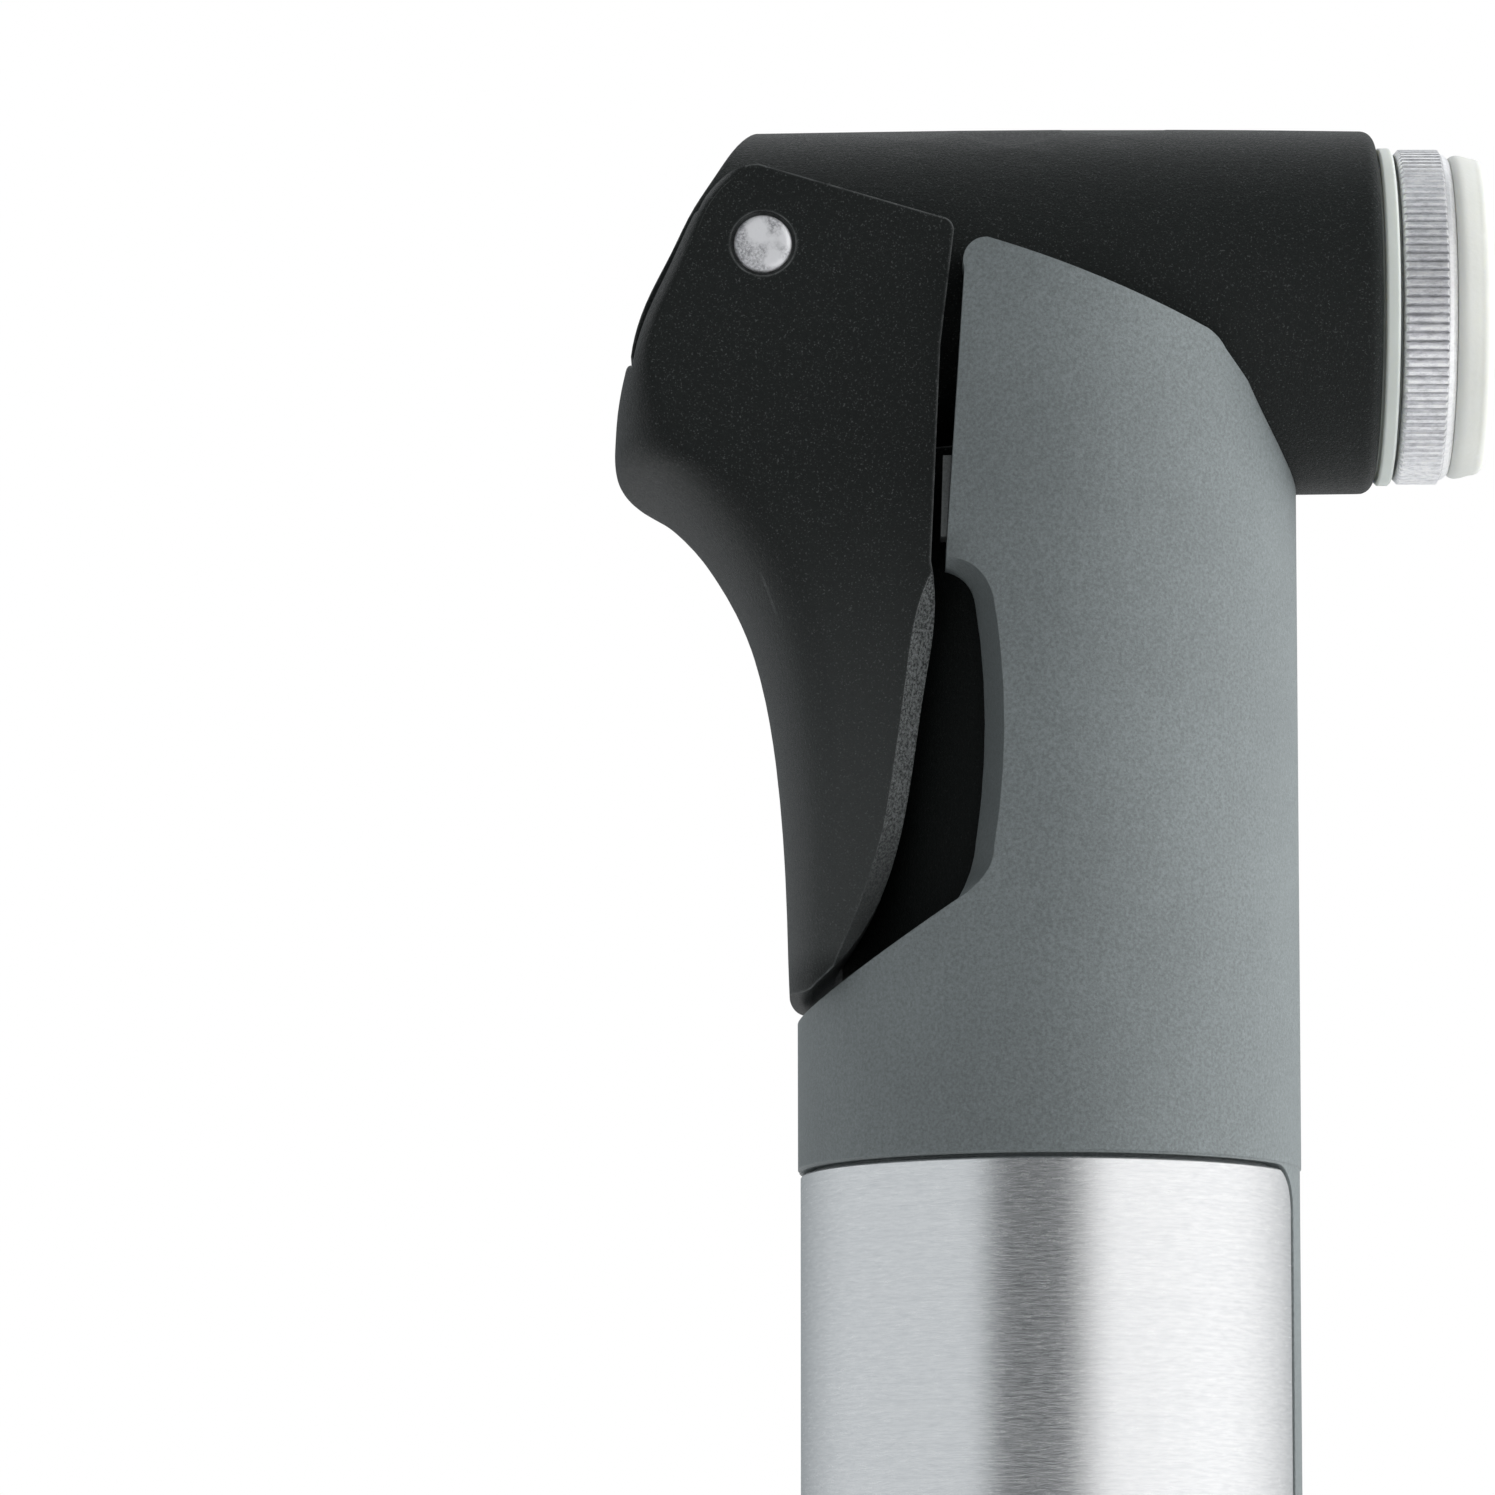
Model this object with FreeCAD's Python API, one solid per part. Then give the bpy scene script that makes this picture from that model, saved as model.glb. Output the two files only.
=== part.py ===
"""Bicycle hand pump with a thumb-lock valve head.

The pump stands upright on its handle. +Z runs up the barrel to the head, +X points out of the valve port,
and the fork lever hangs on the -X side. The origin is the centre of the flat base of the handle. Units are
millimetres.

A black moulded head lies across the top of a black pump cylinder. A grey housing clasps the head between two
ears and runs down the cylinder as a spine, and a thin aluminium shell wraps the rest of the barrel. The fork
lever turns a cam on its pin, the cam pushes a plunger, and the plunger squeezes a grommet round the tyre
valve. The handle slides over the lower end of the cylinder and carries the piston rod.
"""

import FreeCAD
import Part
import math
import os

Vector = FreeCAD.Vector

# ---- driving dimensions --------------------------------------------------------------------------
RUNNING = 0.05           # radial clearance of a piece that turns or slides on another
LOOSE = 0.1              # radial clearance of a piece that is assembled over another

# the barrel, from the outside in
BODY_R = 14.0            # the housing's collar
SPINE_R = 13.92          # the housing below the collar: its spine and its lower ring
SHELL_R = 13.85          # the aluminium shell
SHELL_INNER_R = 13.3
CORE_R = 11.5            # the pump cylinder, and the neck of the head above it
CYLINDER_BORE_R = 10.2

# heights along the barrel
HANDLE_TOP_Z = 49.8
HOUSING_LOW_Z = 50.5
SHELL_LOW_Z = 54.0
SHELL_TOP_Z = 149.8
COLLAR_Z = 150.0         # the foot of the collar, above the shell
CYLINDER_LOW_Z = 8.0
CYLINDER_TOP_Z = 156.0
SPIGOT_LOW_Z = 147.0

# the housing round the shell
SPINE_HALF_W = 4.3       # half the width of the spine that shows between the shell's edges
SHELL_CORNER_R = 2.3
BAYONET_GAP = 0.2        # the shadow gap round the shell
EAR_LEFT = ((-5.9, 183.4), (-4.88, 198.8))   # the ears' edge beside the lever
BUMPER_R, BUMPER_TOP_Z = 13.2, 52.0

# the head, which lies along X
HEAD_Z = 198.35          # axis of the valve port and the plunger
HEAD_R = 10.3
HEAD_RISE = 0.25         # the outside of the head's tube sits this much higher
HEAD_END_X = 18.4
PLUNGER_BORE_R = 7.6
PLUNGER_R = PLUNGER_BORE_R - RUNNING
O_RING_XS = (-7.5, 4.6)
GROMMET_LEFT_X = 7.0
GUIDE_LEFT_X = 13.0
GUIDE_NECK_R = 6.25
VALVE_R = 4.1            # the guide's bore, for a car-type valve stem
SLEEVE_LEFT_X = 9.0
SLEEVE_R = 8.9
FLANGE_X = (18.55, 19.35)
THREAD_R = 8.3
NUT_LEFT_X, NUT_KNURL_END_X, NUT_RIGHT_X = 19.55, 22.1, 22.55

# the lever and its cam
PIN_X, PIN_Z, PIN_R = -15.95, 200.25, 1.6
LEVER_HALF_W = 12.4      # half the width over the lever's two cheeks
CHEEK_T = 1.8
LEVER_TURN = math.radians(90.0)
PLUNGER_TRAVEL = 1.6
CAM_LOW = 3.0            # from the pin to the plunger, lever folded
PLUNGER_LEFT_X = PIN_X + CAM_LOW + 0.03
NOSE_R = 9.3             # the head's hidden rear corner, round the pin, which the lever's web swings past
WEB_R = 9.7              # the inside of the web, round the pin

# the check valve
SEAT_R, SEAT_HOLE_R = 5.0, 1.2
SEAT_TOP_Z = 149.0
BALL_R = 2.0
BALL_Z = SEAT_TOP_Z + math.sqrt(BALL_R ** 2 - SEAT_HOLE_R ** 2) + 0.01
SPRING_TOP_Z = 157.0

# the piston and the handle
PISTON_LOW_Z, PISTON_TOP_Z = 137.0, 146.0
ROD_R, ROD_LOW_Z = 4.0, 5.5
GUIDE_TOP_Z = 15.0
SLEEVE_LOW_Z = 3.5
GRIP_INNER_R, GRIP_TOP_Z = 12.9, 46.4
PLUG_R, PLUG_T = 4.2, 0.8
SCREW_SEAT_Z = 2.9


# ---- helpers -------------------------------------------------------------------------------------
def upright(radius, low, high, x=0.0, y=0.0):
    """A solid cylinder along Z."""
    return Part.makeCylinder(radius, high - low, Vector(x, y, low), Vector(0, 0, 1))


def tube(outer, inner, low, high):
    """A round tube along Z on the pump's axis."""
    return upright(outer, low, high).cut(upright(inner, low - 1, high + 1))


def level(radius, left, right):
    """A solid cylinder along X on the head's axis."""
    return Part.makeCylinder(radius, right - left, Vector(left, 0, HEAD_Z), Vector(1, 0, 0))


def across(radius, half_width, x=PIN_X, z=PIN_Z):
    """A solid cylinder along Y, centred on the pump's middle plane."""
    return Part.makeCylinder(radius, 2 * half_width, Vector(x, -half_width, z), Vector(0, 1, 0))


def block(x0, x1, y0, y1, z0, z1):
    return Part.makeBox(x1 - x0, y1 - y0, z1 - z0, Vector(x0, y0, z0))


def wire(place, start, *steps):
    """A closed outline in a plane. place turns a flat point into a vector. A step is a point to draw a line
    to, ("arc", middle, end), or ("curve", point, ..., end) for one smooth curve."""
    edges, here = [], place(*start)
    for step in steps:
        if step[0] == "arc":
            middle, end = place(*step[1]), place(*step[2])
            edges.append(Part.Arc(here, middle, end).toShape())
        elif step[0] == "curve":
            points = [here] + [place(*p) for p in step[1:]]
            curve = Part.BSplineCurve()
            curve.interpolate(points)
            edges.append(curve.toShape())
            end = points[-1]
        else:
            end = place(*step)
            edges.append(Part.makeLine(here, end))
        here = end
    if here.distanceToPoint(place(*start)) > 1e-6:
        edges.append(Part.makeLine(here, place(*start)))
    return Part.Wire(edges)


def side_wire(y, *outline):
    """An outline in the XZ plane, seen from the front, at the depth y."""
    return wire(lambda x, z: Vector(x, y, z), *outline)


def side_prism(half_width, *outline):
    """An XZ outline made solid between -half_width and half_width."""
    return Part.Face(side_wire(-half_width, *outline)).extrude(Vector(0, 2 * half_width, 0))


def front_prism(left, right, *outline):
    """A YZ outline made solid between the planes x = left and x = right."""
    flat = wire(lambda y, z: Vector(left, y, z), *outline)
    return Part.Face(flat).extrude(Vector(right - left, 0, 0))


def turned(*outline):
    """An outline of (radius, z) points turned round the pump's axis."""
    return Part.Face(wire(lambda r, z: Vector(r, 0, z), *outline)).revolve(Vector(), Vector(0, 0, 1), 360)


def turned_level(*outline):
    """An outline of (x, radius) points turned round the head's axis."""
    flat = wire(lambda x, r: Vector(x, 0, HEAD_Z + r), *outline)
    return Part.Face(flat).revolve(Vector(0, 0, HEAD_Z), Vector(1, 0, 0), 360)


def ring(centre_r, wire_r, z):
    """An O-ring round the pump's axis."""
    return Part.makeTorus(centre_r, wire_r, Vector(0, 0, z), Vector(0, 0, 1))


def about_pin(radius, degrees):
    """The point at that distance and angle from the lever's pin; 0 is +X and 90 is up."""
    a = math.radians(degrees)
    return PIN_X + radius * math.cos(a), PIN_Z + radius * math.sin(a)


# ---- the head ------------------------------------------------------------------------------------
def head_blank(grow=0.0):
    """The head's tube before its ends are cut: very slightly barrel-shaped, for the mould's draft."""
    return turned_level(
        (-26, 0),
        (-26, 9.95 + grow),
        ("curve", (-16, 10.08 + grow), (-4, 10.26 + grow), (8, HEAD_R + grow), (HEAD_END_X, 10.2 + grow)),
        (HEAD_END_X, 0),
    ).translated(Vector(0, 0, HEAD_RISE))


def head_profile():
    """The head's tube from the side. Its rear end is a slanting curve down to the lever's web."""
    rear = ((-17.3, 207.2), (-18.6, 204.9), (-19.95, 202.5), (-21.0, 200.2), (-22.25, 197.7), (-23.25, 194.5))
    return side_prism(
        HEAD_R + 1,
        (HEAD_END_X + 1, 210.0),
        (-16.0, 210.0),
        (-16.0, 208.75),
        ("curve", *rear),
        about_pin(NOSE_R, 224),
        ("arc", about_pin(NOSE_R, 237), about_pin(NOSE_R, 250)),
        (-17.7, 188.3),
        (-17.7, 187.0),
        (HEAD_END_X + 1, 187.0),
    )


def head_shell():
    body = head_blank().common(head_profile())
    mouth = [e for e in body.Edges if e.BoundBox.XMin > HEAD_END_X - 0.01 and e.Length > 30]
    body = body.makeFillet(0.8, mouth)
    neck = upright(CORE_R, CYLINDER_TOP_Z, HEAD_Z - 9.0)
    spigot = upright(CYLINDER_BORE_R - RUNNING, SPIGOT_LOW_Z, CYLINDER_TOP_Z)
    body = body.fuse([neck, spigot]).removeSplitter()
    hollows = [
        level(PLUNGER_BORE_R, PLUNGER_LEFT_X - 0.2, SLEEVE_LEFT_X),
        level(SLEEVE_R, SLEEVE_LEFT_X, HEAD_END_X + 1),
        across(CAM_LOW + PLUNGER_TRAVEL + 0.3, 4.3).common(block(-17.3, 0, -5, 5, 190, 210)),
        across(3.3, 4.3),
        across(PIN_R + RUNNING, HEAD_R + 1),
        upright(1.4, 156.0, HEAD_Z - 5.0),               # air passage up the neck
        upright(2.5, SEAT_TOP_Z, 157.0),                 # room of the check valve
        upright(SEAT_R, SPIGOT_LOW_Z - 1, SEAT_TOP_Z),
        tube(CORE_R, 8.2, SPIGOT_LOW_Z + 3.4, SPIGOT_LOW_Z + 5.5),   # groove of the neck's O-ring
    ]
    return body.cut(hollows)


def threaded_sleeve():
    """The pale insert in the mouth of the head, with a flange and the stub that the nut screws on to."""
    body = level(SLEEVE_R, SLEEVE_LEFT_X, FLANGE_X[0])
    flange = level(9.5, *FLANGE_X)
    flange = flange.makeChamfer(0.12, [e for e in flange.Edges if e.Length > 50])
    stub = level(THREAD_R, FLANGE_X[1], NUT_KNURL_END_X - 0.15)
    bore = level(PLUNGER_BORE_R, SLEEVE_LEFT_X - 1, NUT_RIGHT_X)
    return body.fuse([flange, stub]).cut(bore).removeSplitter()


def ring_nut():
    """The knurled ring that clamps the valve guide: straight teeth all round, and a smooth lip."""
    teeth, tip_r, root_r = 116, 9.42, 9.18
    corners = []
    for i in range(teeth):
        for share, r in ((0.0, root_r), (0.3, tip_r), (0.7, tip_r)):
            a = 2 * math.pi * (i + share) / teeth
            corners.append(Vector(NUT_LEFT_X, r * math.cos(a), HEAD_Z + r * math.sin(a)))
    toothed = Part.Face(Part.makePolygon(corners + corners[:1]))
    toothed = toothed.extrude(Vector(NUT_KNURL_END_X - NUT_LEFT_X, 0, 0))
    blank = turned_level(
        (NUT_LEFT_X, THREAD_R + RUNNING),
        (NUT_LEFT_X, root_r - 0.05),
        (NUT_LEFT_X + 0.35, tip_r + 0.1),
        (NUT_KNURL_END_X - 0.2, tip_r + 0.1),
        (NUT_KNURL_END_X, root_r),
        (NUT_RIGHT_X - 0.25, root_r - 0.06),
        (NUT_RIGHT_X, root_r - 0.3),
        (NUT_RIGHT_X, GUIDE_NECK_R + RUNNING),
        (NUT_KNURL_END_X, GUIDE_NECK_R + RUNNING),
        (NUT_KNURL_END_X, THREAD_R + RUNNING),
    )
    lip = level(tip_r + 1, NUT_KNURL_END_X, NUT_RIGHT_X + 1)
    return blank.common(toothed.fuse(lip)).removeSplitter()


def valve_guide():
    """The soft mouthpiece: a body in the sleeve, a neck through the nut and a domed flange on its face."""
    neck_x = NUT_KNURL_END_X - 0.05
    return turned_level(
        (GUIDE_LEFT_X, VALVE_R),
        (GUIDE_LEFT_X, 7.4),
        (neck_x, 7.4),
        (neck_x, GUIDE_NECK_R),
        (NUT_RIGHT_X + 0.03, GUIDE_NECK_R),
        (NUT_RIGHT_X + 0.03, 8.85),
        ("curve", (NUT_RIGHT_X + 0.25, 9.05), (NUT_RIGHT_X + 0.8, 9.05), (NUT_RIGHT_X + 1.4, 8.9)),
        ("arc", (NUT_RIGHT_X + 1.85, 8.7), (NUT_RIGHT_X + 2.05, 8.2)),
        ("curve", (NUT_RIGHT_X + 2.2, 7.0), (NUT_RIGHT_X + 2.25, VALVE_R + 0.6)),
        (NUT_RIGHT_X + 1.7, VALVE_R),
    )


def valve_grommet():
    """The rubber sleeve that the plunger squeezes round the tyre valve."""
    return level(7.5, GROMMET_LEFT_X, GUIDE_LEFT_X).cut(level(3.9, GROMMET_LEFT_X - 1, GUIDE_LEFT_X + 1))


def plunger():
    """Pushed by the cam. Air enters its waist from the neck and leaves along its middle."""
    body = level(PLUNGER_R, PLUNGER_LEFT_X, GROMMET_LEFT_X)
    waist = level(PLUNGER_R + 1, -4.6, 2.4).cut(level(5.6, -5, 3))
    grooves = [level(PLUNGER_R + 1, x - 0.85, x + 0.85).cut(level(6.0, x - 1, x + 1)) for x in O_RING_XS]
    outlet = level(2.2, -2.6, GROMMET_LEFT_X + 1)
    inlets = [upright(1.3, HEAD_Z - 8, HEAD_Z + 8, x=-1.0), across(1.3, 8, x=-1.0, z=HEAD_Z)]
    return body.cut([waist, outlet] + grooves + inlets)


def plunger_o_rings():
    rings = [Part.makeTorus(6.8, 0.78, Vector(x, 0, HEAD_Z), Vector(1, 0, 0)) for x in O_RING_XS]
    return Part.makeCompound(rings)


# ---- the lever -----------------------------------------------------------------------------------
LEVER_BACK = [            # the lever's edge beside the housing, then down the thumb blade to its tip
    (-6.75, 182.6),
    ("curve", (-6.52, 180.3), (-7.1, 175.8), (-8.33, 168.1), (-10.1, 163.2), (-13.0, 159.85)),
    ("arc", (-13.9, 159.5), (-14.6, 160.4)),
]
BLADE = (                 # height, front, half width and depth of the crown, up the whole lever
    (158.5, -14.3, 7.6, 2.8),
    (161.0, -14.5, 9.05, 3.1),
    (164.5, -14.6, 9.75, 3.35),
    (168.5, -14.8, 10.45, 3.6),
    (172.5, -15.15, 11.1, 3.8),
    (176.2, -15.7, 11.62, 4.0),
    (179.4, -16.5, 12.0, 4.2),
    (182.0, -17.55, 12.2, 4.4),
    (184.0, -18.7, 12.32, 4.5),
    (185.6, -19.85, 12.38, 4.55),
    (186.8, -21.0, 12.4, 4.6),
    (187.75, -22.2, 12.4, 4.5),
    (188.5, -23.45, 12.4, 4.3),
    (189.4, -24.15, 12.4, 3.9),
    (190.6, -24.22, 12.4, 3.3),
    (192.2, -24.1, 12.4, 2.5),
    (194.0, -23.75, 12.4, 1.8),
    (196.2, -23.05, 12.4, 1.5),
    (199.6, -21.5, 12.4, 1.5),
    (203.6, -19.4, 12.4, 1.5),
    (206.0, -17.95, 12.4, 1.5),
)


def blade_solid():
    """The lever's outside: a crowned front surface with flat sides behind it."""
    columns = 14
    rows = []
    for z, front, half, crown in BLADE:
        row = []
        for i in range(columns + 1):
            a = math.pi * i / columns
            side = math.copysign(abs(math.cos(a)) ** 0.8, math.cos(a))
            row.append(Vector(front + crown * (1 - math.sin(a) ** 0.8), -half * side, z))
        rows.append(row)
    front_face = Part.BSplineSurface()
    front_face.interpolate(rows)
    return front_face.toShape().extrude(Vector(30, 0, 0))


def strip_bevels():
    """What lies outside the 45 degree bevels on the thumb blade's edges beside the housing."""
    outline = (
        (8, 183.5),
        (6.9, 183.5),
        ("curve", (5.49, 182.0), (4.56, 180.0), (3.43, 176.0), (2.3, 172.0), (0.97, 168.0)),
        ("curve", (-1.0, 164.0), (-2.2, 162.0), (-3.5, 160.3), (-5.0, 158.6)),
        (-5.0, 156),
        (8, 156),
    )
    flat = Part.Face(side_wire(0, *outline))
    bevels = []
    for side in (-1, 1):
        bevel = flat.translated(Vector(-30, side * 30, 0)).extrude(Vector(30, -side * 30, 0))
        bevels.append(bevel)
    return bevels


def lever():
    """A channel: two cheeks that straddle the head, joined by a web, and a thumb blade below."""
    outline = (
        (-6.21, 194.6),
        *LEVER_BACK,
        (-26, 160.4),
        (-26, 202.2),
        (-19.5, 202.2),
        ("arc", (-18.3, 203.95), (-16.2, 204.7)),
        (-6.15, 201.75),
        ("arc", (-5.6, 201.45), (-5.45, 200.9)),
    )
    body = blade_solid().common(side_prism(20, *outline)).cut(strip_bevels())
    channel = side_prism(
        LEVER_HALF_W - CHEEK_T,
        (-3.0, 212.0),
        (-27.0, 212.0),
        (-27.0, 197.8),
        about_pin(WEB_R, 222),
        ("arc", about_pin(WEB_R, 236), about_pin(WEB_R, 250)),
        (-18.3, 188.6),
        ("curve", (-17.0, 184.6), (-14.9, 179.2), (-13.4, 172.5), (-12.9, 164.9)),
        ("arc", (-12.5, 163.9), (-11.4, 163.5)),
        (-3.0, 163.5),
    )
    taper = [(half - CHEEK_T, z) for z, front, half, crown in BLADE[2::3]]
    narrow = front_prism(
        -30,
        0,
        (-taper[-1][0], 213),
        *[(-y, z) for y, z in reversed(taper)],
        *taper,
        (taper[-1][0], 213),
    )
    neck_room = upright(CORE_R + 0.4, 150, 184)
    counterbores = [across(1.8, 0.3).translated(Vector(0, s * LEVER_HALF_W, 0)) for s in (-1, 1)]
    return body.cut([channel.common(narrow), neck_room, across(PIN_R, 20)] + counterbores)


def lever_pin():
    """The steel pin with slightly domed ends. It turns with the lever."""
    pin = across(PIN_R, LEVER_HALF_W + 0.1)
    return pin.makeFillet(0.35, [e for e in pin.Edges if e.Length > 9])


def lever_cam():
    """The cam on the pin. Its flank is the involute that pushes a flat plunger in step with the lever."""
    rise = PLUNGER_TRAVEL / LEVER_TURN
    steps = 12
    high, heel = CAM_LOW + PLUNGER_TRAVEL, 2.5

    def touching(reach, slope, a):
        """The point of the outline whose tangent stands at right angles to the direction a."""
        return (
            PIN_X + reach * math.cos(a) - slope * math.sin(a),
            PIN_Z + reach * math.sin(a) + slope * math.cos(a),
        )

    angles = [LEVER_TURN * i / steps for i in range(steps + 1)]
    flank = [touching(CAM_LOW + rise * a, rise, a) for a in angles]
    outline = [
        ("curve", *flank[1:]),
        about_pin(3.1, 112),
        about_pin(heel, 168),
        ("arc", about_pin(heel, 235), about_pin(heel, 305)),
        touching(CAM_LOW, 0.0, math.radians(-4)),
    ]
    return side_prism(4.0, flank[0], *outline).cut(across(PIN_R, 5))


# ---- the housing and the barrel ------------------------------------------------------------------
def spine_prism(gap):
    """The spine behind the shell, flared where the shell's corners are round, and gap away from the shell."""
    half, low, high = SPINE_HALF_W - gap, SHELL_LOW_Z - gap, SHELL_TOP_Z + gap
    r = SHELL_CORNER_R + gap
    far = half + r
    lean = r * (1 - math.sqrt(0.5))
    return front_prism(
        0,
        20,
        (-far, high + 2),
        (-far, high),
        ("arc", (-half - lean, high - lean), (-half, high - r)),
        (-half, low + r),
        ("arc", (-half - lean, low + lean), (-far, low)),
        (-far, low - 2),
        (far, low - 2),
        (far, low),
        ("arc", (half + lean, low + lean), (half, low + r)),
        (half, high - r),
        ("arc", (half + lean, high - lean), (far, high)),
        (far, high + 2),
    )


def ear_cut():
    """Everything of the housing above its ears and in front of them."""
    return side_prism(
        20,
        (-30, 182.0),
        (-5.95, 182.0),
        EAR_LEFT[0],
        EAR_LEFT[1],
        ("arc", (-4.62, 200.05), (-3.6, 200.4)),
        ("curve", (0.3, 199.0), (4.6, 197.35), (8.6, 195.75)),
        ("arc", (9.15, 195.35), (9.6, 194.75)),
        (12.7, 191.0),
        ("curve", (13.4, 190.1), (14.0, 188.4)),
        (30, 188.4),
        (30, 220),
        (-30, 220),
    )


def recess_cut():
    """The finger recess behind the blade, with a bevelled rim down its long side."""
    outer = (
        (-30, 183.5),
        (-5.9, 183.5),
        ("curve", (-4.1, 182.5), (-3.0, 180.5)),
        ("arc", (-2.5, 174.3), (-3.0, 166.5)),
        ("arc", (-3.35, 165.3), (-4.3, 164.6)),
        (-14.0, 158.35),
        (-30, 148.0),
    )
    inner = (
        (-30, 182.3),
        (-5.9, 182.3),
        ("curve", (-4.9, 181.7), (-4.3, 180.4)),
        ("arc", (-3.8, 174.3), (-4.3, 167.3)),
        ("arc", (-4.65, 165.5), (-5.4, 163.89)),
        (-14.0, 158.35),
        (-30, 148.0),
    )
    rims = [
        Part.makeLoft([side_wire(s * 11.6, *inner), side_wire(s * 14.4, *outer)], True, True)
        for s in (-1, 1)
    ]
    return [side_prism(11.6, *inner).fuse(rims)]


def pump_housing():
    collar = upright(BODY_R, COLLAR_Z, HEAD_Z + 4)
    foot = [e for e in collar.Edges if e.BoundBox.ZMax < COLLAR_Z + 0.01 and e.Length > 50]
    collar = collar.makeChamfer(0.15, foot)
    lower = upright(SPINE_R, HOUSING_LOW_Z, COLLAR_Z + 1)
    body = collar.fuse(lower)
    window = tube(BODY_R + 2, SHELL_INNER_R - LOOSE, SHELL_LOW_Z - BAYONET_GAP, COLLAR_Z)
    body = body.cut(window.cut(spine_prism(BAYONET_GAP)))
    body = body.cut([
        upright(CORE_R + LOOSE, 0, HEAD_Z),
        upright(BUMPER_R, HOUSING_LOW_Z - 1, BUMPER_TOP_Z),
        head_blank(RUNNING),
    ])
    return body.cut([ear_cut()] + recess_cut()).removeSplitter()


def barrel_shell():
    """The thin aluminium plate round the barrel, with round corners beside the spine."""
    shell = tube(SHELL_R, SHELL_INNER_R, SHELL_LOW_Z, SHELL_TOP_Z)
    rims = [e for e in shell.Edges if e.Length > 86]
    return shell.makeChamfer(0.12, rims).cut(spine_prism(0.0))


def lever_stop_pads():
    """Two soft pads on the edges of the ears, where the folded lever comes to rest."""
    def ear_x(z):
        (x0, z0), (x1, z1) = EAR_LEFT
        return x0 + (x1 - x0) * (z - z0) / (z1 - z0) - 0.01

    low, high = 183.9, 188.4
    outline = ((-6.22, low), (ear_x(low), low), (ear_x(high), high), (-6.08, high))
    pads = [Part.Face(side_wire(s * 10.4, *outline)).extrude(Vector(0, s * 2.2, 0)) for s in (-1, 1)]
    return Part.makeCompound(pads)


def bumper_ring():
    """The rubber ring under the housing that cushions the handle."""
    bumper = tube(BUMPER_R, CORE_R + RUNNING, HOUSING_LOW_Z - 0.5, BUMPER_TOP_Z)
    foot = [e for e in bumper.Edges if e.BoundBox.ZMax < HOUSING_LOW_Z and e.Length > 80]
    return bumper.makeFillet(0.2, foot)


def pump_cylinder():
    return tube(CORE_R, CYLINDER_BORE_R, CYLINDER_LOW_Z, CYLINDER_TOP_Z)


def neck_o_ring():
    return ring(9.18, 0.95, SPIGOT_LOW_Z + 4.45)


# ---- the check valve -----------------------------------------------------------------------------
def check_valve_seat():
    hole = upright(SEAT_HOLE_R, SPIGOT_LOW_Z - 1, SEAT_TOP_Z + 1)
    return upright(SEAT_R, SPIGOT_LOW_Z, SEAT_TOP_Z).cut(hole)


def check_valve_ball():
    return Part.makeSphere(BALL_R, Vector(0, 0, BALL_Z))


def check_valve_spring():
    """An open coil spring that holds the ball down on its seat, of eight-sided wire."""
    wire_r, coil_r, pitch, steps = 0.2, 1.9, 1.05, 60
    low = BALL_Z + 1.1
    height = SPRING_TOP_Z - wire_r - low - 0.02
    points, section = [], []
    for i in range(steps + 1):
        a = 2 * math.pi * height / pitch * i / steps
        points.append(Vector(coil_r * math.cos(a), coil_r * math.sin(a), low + height * i / steps))
    for i in range(9):
        a = 2 * math.pi * i / 8
        section.append(Vector(coil_r + wire_r * math.cos(a), 0, low + wire_r * math.sin(a)))
    coil = Part.BSplineCurve()
    coil.interpolate(points)
    return Part.Wire(coil.toShape()).makePipeShell([Part.makePolygon(section)], True, True)


# ---- the piston and the handle -------------------------------------------------------------------
def rod_guide():
    """The bush that closes the cylinder's lower end round the rod, with three breather holes."""
    flange = upright(CORE_R, CYLINDER_LOW_Z - 1.4, CYLINDER_LOW_Z)
    plug = upright(CYLINDER_BORE_R - 0.02, CYLINDER_LOW_Z, GUIDE_TOP_Z)
    holes = [upright(ROD_R + RUNNING, 0, 20)]
    for i in range(3):
        a = 2 * math.pi * i / 3
        holes.append(upright(1.1, 0, 20, x=7.2 * math.cos(a), y=7.2 * math.sin(a)))
    return flange.fuse(plug).cut(holes).removeSplitter()


def rod_bumper():
    """The rubber washer that stops the piston at the end of its stroke."""
    return tube(6.0, ROD_R + 0.15, GUIDE_TOP_Z, GUIDE_TOP_Z + 1.5)


def piston_rod():
    rod = upright(ROD_R, ROD_LOW_Z, PISTON_LOW_Z)
    tip = upright(2.55, PISTON_LOW_Z, PISTON_TOP_Z - 2)
    return rod.fuse(tip).cut(upright(2.0, ROD_LOW_Z - 1, PISTON_LOW_Z - 3)).removeSplitter()


def piston():
    body = upright(CYLINDER_BORE_R - 0.1, PISTON_LOW_Z, PISTON_TOP_Z)
    groove_low = PISTON_LOW_Z + 3.3
    groove = tube(CYLINDER_BORE_R + 1, 8.0, groove_low, groove_low + 2.3)
    return body.cut([groove, upright(2.6, PISTON_LOW_Z - 1, PISTON_TOP_Z - 2)])


def piston_o_ring():
    return ring(9.1, 1.05, PISTON_LOW_Z + 4.45)


def handle_sleeve():
    """The handle's tube, which slides over the cylinder, with a rim at its top."""
    body = tube(GRIP_INNER_R, CORE_R + 0.3, SLEEVE_LOW_Z, HANDLE_TOP_Z)
    rim = tube(SHELL_R, GRIP_INNER_R - 0.5, GRIP_TOP_Z + 0.1, HANDLE_TOP_Z)
    lip = [e for e in rim.Edges if e.BoundBox.ZMin > HANDLE_TOP_Z - 0.01 and e.Length > 85]
    rim = rim.makeFillet(0.6, lip)
    return body.fuse(rim).removeSplitter()


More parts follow.
